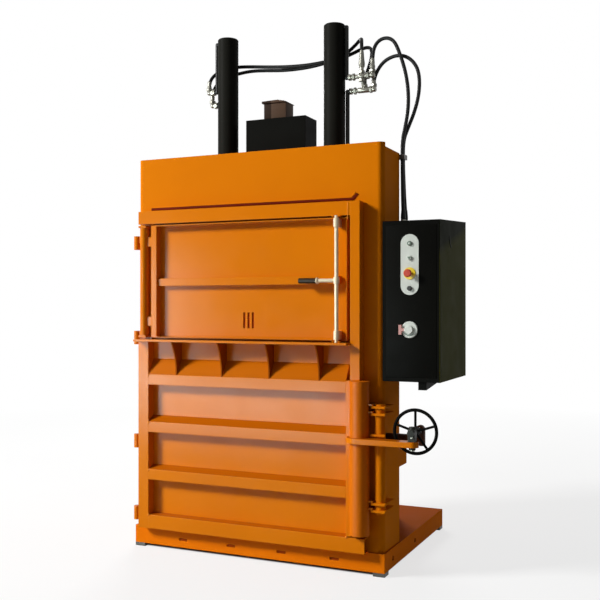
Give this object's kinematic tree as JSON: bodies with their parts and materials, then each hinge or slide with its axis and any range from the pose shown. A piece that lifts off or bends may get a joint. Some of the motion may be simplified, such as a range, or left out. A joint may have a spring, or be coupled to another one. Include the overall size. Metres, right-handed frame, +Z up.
{
  "type": "recycling baler",
  "caption": "Upright recycling baler: a press plate on hydraulic cylinders packs waste behind a ribbed main door with a feed door above.",
  "frame": {"origin": "on the floor, at the centre of the four foot pads' fixing holes", "axes": "+Z up; the doors face -Y; +X to the right seen from the front, towards the power cabinet"},
  "size_m": [1.704, 1.164, 2.8],
  "materials": {
    "orange_paint": "semi-gloss orange powder coat with light orange peel",
    "black_paint": "satin black paint, fine texture",
    "dark_steel": "dark grey primer, matt",
    "bright_steel": "zinc plated steel",
    "chrome_bar": "hard chrome",
    "hose_rubber": "black hydraulic hose cover",
    "black_plastic": "moulded black grip",
    "white_plastic": "white moulding",
    "green_plastic": "green push button",
    "red_plastic": "red moulding",
    "yellow_plastic": "yellow moulding",
    "brown_plastic": "brown housing, dusty"
  },
  "bodies": {
    "machine_frame": {"base_frame": "orange_paint", "foot_pads": "dark_steel", "front_frame": "orange_paint", "chamber_shell": "orange_paint", "chamber_belts": "orange_paint", "top_deck": "orange_paint", "door_hinge_pins": "orange_paint", "catch_rod": "orange_paint", "catch_lugs": "orange_paint", "nut_bracket": "orange_paint", "left_cylinder": "black_paint", "right_cylinder": "black_paint", "left_pipework": "bright_steel", "right_pipework": "bright_steel", "power_cabinet": "black_paint", "cabinet_side_cover": "black_paint", "cabinet_rail": "black_paint", "oil_tank": "black_paint", "pump_motor": "dark_steel", "hose_glands": "bright_steel", "button_plate": "white_plastic", "emergency_stop_collar": "yellow_plastic", "main_switch_housing": "white_plastic", "top_cover": "black_paint", "terminal_box": "brown_plastic", "hose_clip": "dark_steel", "supply_hose_a": "hose_rubber", "supply_hose_b": "hose_rubber", "cross_hose_a": "hose_rubber", "cross_hose_b": "hose_rubber"},
    "press_ram": {"piston_rods": "chrome_bar", "press_platen": "orange_paint"},
    "main_door": {"door_skin": "orange_paint", "door_hinge_stiles": "orange_paint", "door_lock_posts": "orange_paint", "door_top_rail": "orange_paint", "door_bottom_rail": "orange_paint", "door_ribs": "orange_paint", "door_shelf": "orange_paint", "door_gussets": "orange_paint", "door_hinge_sleeves": "orange_paint", "lock_tube": "orange_paint", "lock_arm": "orange_paint", "door_prongs": "orange_paint", "swivel_block": "bright_steel", "feed_hinge_brackets": "orange_paint", "bar_keepers": "orange_paint"},
    "clamp_screw": {"clamp_spindle": "bright_steel", "handwheel": "black_paint"},
    "feed_door": {"feed_door_pan": "orange_paint", "feed_door_rib": "orange_paint", "feed_hinge_tube": "orange_paint", "bar_bearings": "bright_steel"},
    "lock_bar": {"lock_bar": "chrome_bar", "lever_grip": "black_plastic"},
    "start_button": {"start_button": "green_plastic"},
    "return_button": {"return_button": "white_plastic"},
    "emergency_stop": {"emergency_stop_button": "red_plastic"},
    "key_switch": {"key_switch": "black_plastic"},
    "main_switch": {"main_switch_knob": "red_plastic"}
  },
  "joints": [
    {"name": "ram_slide", "type": "slide", "parent": "machine_frame", "child": "press_ram", "axis": [0, 0, -1], "range_m": [0, 0.72]},
    {"name": "main_door_hinge", "type": "hinge", "parent": "machine_frame", "child": "main_door", "pos_m": [-0.697, -0.536, 1], "axis": [0, 0, -1], "range_deg": [0, 120]},
    {"name": "feed_door_hinge", "type": "hinge", "parent": "main_door", "child": "feed_door", "pos_m": [-0.631, -0.564, 1.4], "axis": [0, 0, -1], "range_deg": [0, 110]},
    {"name": "lock_bar_turn", "type": "hinge", "parent": "feed_door", "child": "lock_bar", "pos_m": [0.492, -0.589, 1.429], "axis": [0, 0, 1], "range_deg": [0, 100]},
    {"name": "clamp_screw_turn", "type": "hinge", "parent": "main_door", "child": "clamp_screw", "pos_m": [0.879, -0.514, 0.716], "axis": [0, 1, 0], "continuous": true},
    {"name": "start_button_press", "type": "slide", "parent": "machine_frame", "child": "start_button", "axis": [0, 1, 0], "range_m": [0, 0.004], "stiffness_N_per_m": 400},
    {"name": "return_button_press", "type": "slide", "parent": "machine_frame", "child": "return_button", "axis": [0, 1, 0], "range_m": [0, 0.004], "stiffness_N_per_m": 400},
    {"name": "emergency_stop_press", "type": "slide", "parent": "machine_frame", "child": "emergency_stop", "axis": [0, 1, 0], "range_m": [0, 0.004], "stiffness_N_per_m": 600},
    {"name": "key_switch_turn", "type": "hinge", "parent": "machine_frame", "child": "key_switch", "pos_m": [0.841, -0.528, 1.389], "axis": [0, 1, 0], "range_deg": [0, 90]},
    {"name": "main_switch_turn", "type": "hinge", "parent": "machine_frame", "child": "main_switch", "pos_m": [0.841, -0.524, 1.193], "axis": [0, 1, 0], "range_deg": [0, 90]}
  ]
}
